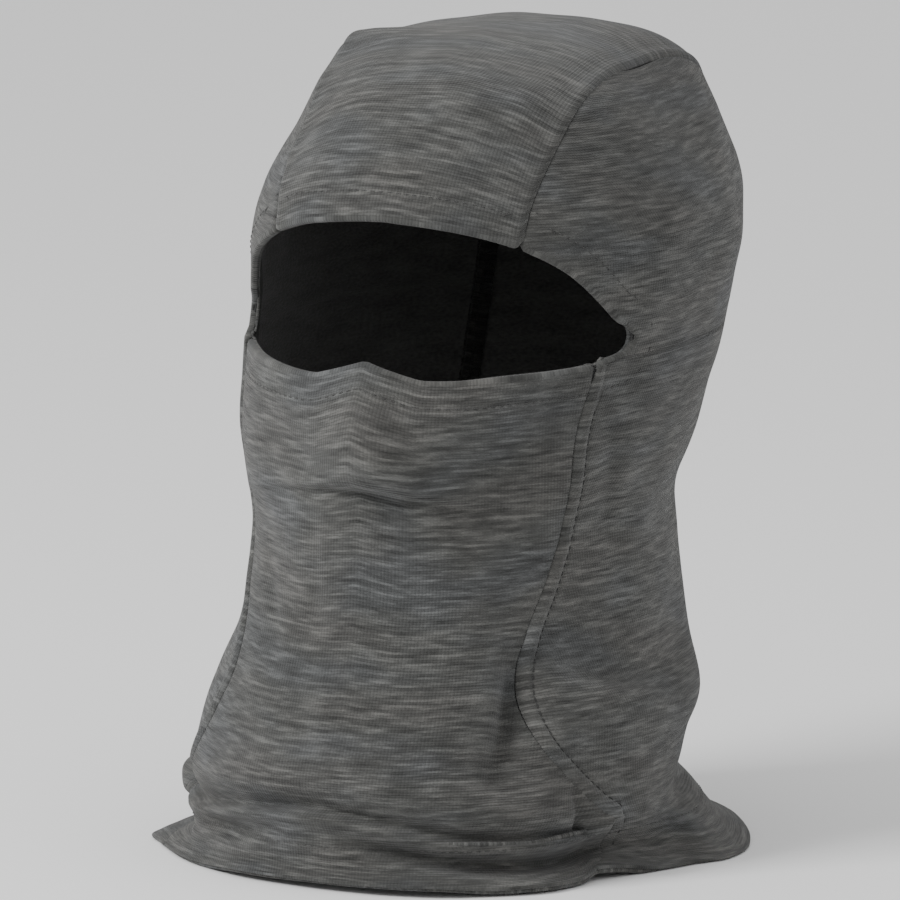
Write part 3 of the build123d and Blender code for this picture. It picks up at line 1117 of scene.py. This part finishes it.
edge_line = opening_line()
left_side = side_grid()
panel_piece("front_panel", front_grid())
panel_piece("crown_panel", crown_grid())
panel_piece("side_panel_left", left_side, 1)
panel_piece("side_panel_right", (left_side * (-1, 1, 1))[:, ::-1], 0)

# The front line climbs from the hem to the cheek, and its allowances lie under the side panel. The
# crown line runs from the brow back, and its allowances lie under the crown panel.
for side, front, crown in (
    ("left", front_line, crown_line), ("right", mirrored(front_line), mirrored(crown_line)),
):
    for seam, line, first, last, way in (("front", front, 17, 16, -1), ("crown", crown, 12, 17, 1)):
        strip = beside(part_of(line, first, last), way * np.linspace(0.2, 5.8, 7))
        layer(f"{seam}_seam_allowance_{side}", "cloth", strip, ALLOWANCE, SEAM, "seam_fabric")
        overlock(f"{seam}_overlock_thread_{side}", line, way * 1.8, way * 6.1, first, last)
    stitches(f"front_topstitch_{side}", front, TOPSTITCHED, THREAD, first=17, last=14)

elastic_strip = beside(edge_line, np.linspace(2, 8, 7), True)
layer("opening_elastic", "tape", elastic_strip, TAPE, ELASTIC, "elastic", closed=True)
facing_strip = beside(edge_line, np.linspace(0.6, 10.6, 11), True)
layer("opening_facing", "cloth", facing_strip, CLOTH, SHELL, "shell_fabric", FACING_DEPTH, True)
stitches("opening_topstitch", edge_line, 9.6, TONAL, radius=0.16)

turns = np.linspace(-180, 180, 441)[:-1]
hem_heights = profile_rows(LOWEST, HEM_TOP, 20, 0.0)
hem_rows = np.stack([at_azimuth(turns, z) for z in hem_heights], axis=1)
layer("bottom_hem", "cloth", hem_rows, TURNED_HEM, SHELL, "shell_fabric", closed=True)
ring = at_azimuth(np.append(turns, 180), HEM_STITCHED)
stitches("hem_topstitch", line_frame(ring, np.ones(len(ring))), 0, TONAL, radius=0.13)

label_places = np.linspace(-LABEL_HALF, LABEL_HALF, 15), np.linspace(LABEL_LOW, LABEL_HIGH, 11)
label_grid = skin_section_point(*np.meshgrid(*label_places), True)
layer("care_label", "tape", label_grid, SATIN, LABEL, "label")


# ---------------------------------------------------------------- studio
AZIMUTH, ELEVATION = math.radians(25), math.radians(10)
DISTANCE, LENS = 8.0, 955  # far away, so that there is almost no perspective
level = math.cos(ELEVATION)
away = np.array((math.sin(AZIMUTH) * level, -math.cos(AZIMUTH) * level, math.sin(ELEVATION)))
right_way = np.array((math.cos(AZIMUTH), math.sin(AZIMUTH), 0))
up_way = np.cross(away, right_way)
target = np.array((0, 0.0185, 0)) - 0.0157 * right_way + 0.1245 * up_way
camera_data = bpy.data.cameras.new("camera")
camera_data.lens = LENS
camera_data.sensor_width = 36
camera = placed("camera", camera_data)
camera.location = target + DISTANCE * away
camera.rotation_euler = (math.pi / 2 - ELEVATION, 0, AZIMUTH)
bpy.context.scene.camera = camera

world = bpy.data.worlds.new("studio")
bpy.context.scene.world = world
world.use_nodes = True
backdrop = world.node_tree.nodes["Background"].inputs
backdrop["Color"].default_value = (1, 1, 1, 1)
backdrop["Strength"].default_value = 0.85

bpy.ops.mesh.primitive_plane_add(size=6, location=(0, 0, -0.0005))
floor = bpy.context.object
paper, _, paper_shader = new_material("floor", 0.9)
paper_shader.inputs["Base Color"].default_value = (0.92, 0.92, 0.92, 1)
floor.data.materials.append(paper)

# A key light from the wearer's right front, and a weak fill: place, size and power
for place, size, power in (((-0.9, -1.2, 1.3), 0.7, 31), ((1.3, -0.8, 0.7), 1.2, 1.5)):
    lamp_data = bpy.data.lights.new("lamp", "AREA")
    lamp_data.size = size
    lamp_data.energy = power
    lamp = placed("lamp", lamp_data)
    lamp.location = place
    aim = unit(np.array((0, 0, 0.13)) - place)
    lamp.rotation_euler = (math.pi - math.acos(aim[2]), 0, math.atan2(-aim[0], aim[1]))
